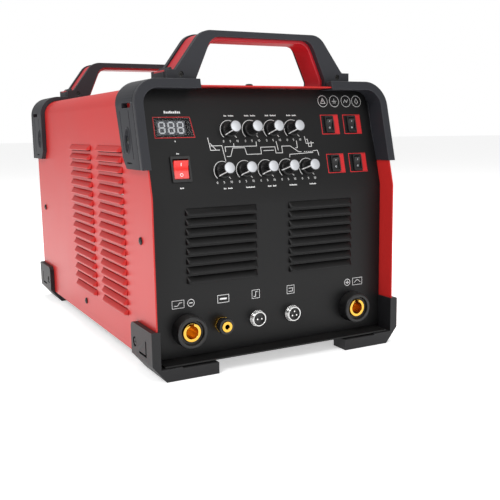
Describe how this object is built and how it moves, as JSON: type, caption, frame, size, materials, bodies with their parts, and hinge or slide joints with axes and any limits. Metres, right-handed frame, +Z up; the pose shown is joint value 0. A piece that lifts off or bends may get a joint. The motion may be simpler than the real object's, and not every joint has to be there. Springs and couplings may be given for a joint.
{
  "type": "tig welding machine",
  "caption": "Portable inverter TIG welding power source: louvred steel case with corner bumpers, carrying handles, front sockets, rotary knobs and rocker switches.",
  "frame": {"origin": "on the ground, at the middle of the footprint", "axes": "+Z up, +Y to the back, +X to the right as seen from the front"},
  "size_m": [0.3, 0.482, 0.3455],
  "materials": {
    "red_powder_coat": "gloss coral red powder coat",
    "black_powder_coat": "satin near-black powder coat",
    "zinc_steel": "zinc plated sheet",
    "bumper_black": "moulded, fine texture",
    "bumper_charcoal": "moulded, fine texture",
    "handle_red": "moulded, semi-gloss",
    "black_screw": "black oxide",
    "knob_black": "moulded",
    "rocker_red": "translucent red",
    "moulded_black": "moulded",
    "display_glass": "clear window",
    "display_black": "display face",
    "brass": "turned brass",
    "chrome": "bright plated",
    "circuit_board": "green laminate",
    "aluminium": "extruded",
    "capacitor_sleeve": "sleeved can",
    "ferrite": "sintered",
    "winding": "varnished copper",
    "hose_black": "hose"
  },
  "bodies": {
    "case": {"board_pillars": "zinc_steel", "bumper_screws": "black_screw", "bus_capacitors": "capacitor_sleeve", "chassis_tray": "black_powder_coat", "control_board": "circuit_board", "control_socket_inserts": "moulded_black", "control_socket_pins": "chrome", "control_socket_shells": "chrome", "cover": "red_powder_coat", "cover_screws": "black_screw", "display_lens": "display_glass", "display_module": "display_black", "earth_stud": "brass", "fan_frame": "moulded_black", "fan_grille": "chrome", "fan_screws": "black_screw", "front_bumper_bottom_left": "bumper_black", "front_bumper_bottom_right": "bumper_black", "front_bumper_top_left": "bumper_charcoal", "front_bumper_top_right": "bumper_charcoal", "front_handle_core": "handle_red", "front_handle_shells": "bumper_charcoal", "front_panel": "black_powder_coat", "gas_hose": "hose_black", "gas_inlet": "brass", "gas_outlet": "brass", "gas_valve": "brass", "handle_screws": "black_screw", "heatsinks": "aluminium", "main_switch_housing": "moulded_black", "mains_gland": "moulded_black", "mode_switch_housings": "moulded_black", "output_choke": "winding", "potentiometers": "zinc_steel", "power_board": "circuit_board", "rear_bumpers_bottom": "bumper_black", "rear_bumpers_top": "bumper_charcoal", "rear_handle_core": "handle_red", "rear_handle_shells": "bumper_charcoal", "rear_panel": "black_powder_coat", "socket_contacts": "brass", "socket_housings": "moulded_black", "transformer_core": "ferrite", "transformer_winding": "winding"},
    "knob_1": {"knob_1": "knob_black"},
    "knob_2": {"knob_2": "knob_black"},
    "knob_3": {"knob_3": "knob_black"},
    "knob_4": {"knob_4": "knob_black"},
    "knob_5": {"knob_5": "knob_black"},
    "knob_6": {"knob_6": "knob_black"},
    "knob_7": {"knob_7": "knob_black"},
    "knob_8": {"knob_8": "knob_black"},
    "knob_9": {"knob_9": "knob_black"},
    "mode_rocker_1": {"mode_rocker_1": "moulded_black"},
    "mode_rocker_2": {"mode_rocker_2": "moulded_black"},
    "mode_rocker_3": {"mode_rocker_3": "moulded_black"},
    "mode_rocker_4": {"mode_rocker_4": "moulded_black"},
    "main_switch_rocker": {"main_switch_rocker": "rocker_red"},
    "gas_outlet_collar": {"gas_outlet_collar": "moulded_black"},
    "fan_impeller": {"fan_impeller": "moulded_black"}
  },
  "joints": [
    {"name": "knob_1_turn", "type": "hinge", "parent": "case", "child": "knob_1", "pos_m": [-0.042, -0.20112, 0.2455], "axis": [0, -0.9701, 0.2425], "range_deg": [-270, 0]},
    {"name": "knob_2_turn", "type": "hinge", "parent": "case", "child": "knob_2", "pos_m": [-0.0165, -0.20112, 0.2455], "axis": [0, -0.9701, 0.2425], "range_deg": [0, 270]},
    {"name": "knob_3_turn", "type": "hinge", "parent": "case", "child": "knob_3", "pos_m": [0.009, -0.20112, 0.2455], "axis": [0, -0.9701, 0.2425], "range_deg": [-270, 0]},
    {"name": "knob_4_turn", "type": "hinge", "parent": "case", "child": "knob_4", "pos_m": [0.0345, -0.20112, 0.2455], "axis": [0, -0.9701, 0.2425], "range_deg": [-270, 0]},
    {"name": "knob_5_turn", "type": "hinge", "parent": "case", "child": "knob_5", "pos_m": [-0.055, -0.2115, 0.204], "axis": [0, -0.9701, 0.2425], "range_deg": [-270, 0]},
    {"name": "knob_6_turn", "type": "hinge", "parent": "case", "child": "knob_6", "pos_m": [-0.0295, -0.2115, 0.204], "axis": [0, -0.9701, 0.2425], "range_deg": [-270, 0]},
    {"name": "knob_7_turn", "type": "hinge", "parent": "case", "child": "knob_7", "pos_m": [-0.004, -0.2115, 0.204], "axis": [0, -0.9701, 0.2425], "range_deg": [-270, 0]},
    {"name": "knob_8_turn", "type": "hinge", "parent": "case", "child": "knob_8", "pos_m": [0.0215, -0.2115, 0.204], "axis": [0, -0.9701, 0.2425], "range_deg": [-240, 30]},
    {"name": "knob_9_turn", "type": "hinge", "parent": "case", "child": "knob_9", "pos_m": [0.047, -0.2115, 0.204], "axis": [0, -0.9701, 0.2425], "range_deg": [-240, 30]},
    {"name": "main_switch_rock", "type": "hinge", "parent": "case", "child": "main_switch_rocker", "pos_m": [-0.1015, -0.2097, 0.20706], "axis": [1, 0, 0], "range_deg": [-20, 0]},
    {"name": "mode_rocker_1_rock", "type": "hinge", "parent": "case", "child": "mode_rocker_1", "pos_m": [0.0832, -0.19903, 0.24976], "axis": [1, 0, 0], "range_deg": [-20, 0]},
    {"name": "mode_rocker_2_rock", "type": "hinge", "parent": "case", "child": "mode_rocker_2", "pos_m": [0.1132, -0.19903, 0.24976], "axis": [1, 0, 0], "range_deg": [-20, 0]},
    {"name": "mode_rocker_3_rock", "type": "hinge", "parent": "case", "child": "mode_rocker_3", "pos_m": [0.0844, -0.2097, 0.20706], "axis": [1, 0, 0], "range_deg": [-20, 0]},
    {"name": "mode_rocker_4_rock", "type": "hinge", "parent": "case", "child": "mode_rocker_4", "pos_m": [0.114, -0.2097, 0.20706], "axis": [1, 0, 0], "range_deg": [-20, 0]},
    {"name": "gas_collar_slide", "type": "slide", "parent": "case", "child": "gas_outlet_collar", "axis": [0, 1, 0], "range_m": [0, 0.0024]},
    {"name": "fan_spin", "type": "hinge", "parent": "case", "child": "fan_impeller", "pos_m": [0, 0.2, 0.15], "axis": [0, 1, 0], "continuous": true}
  ]
}
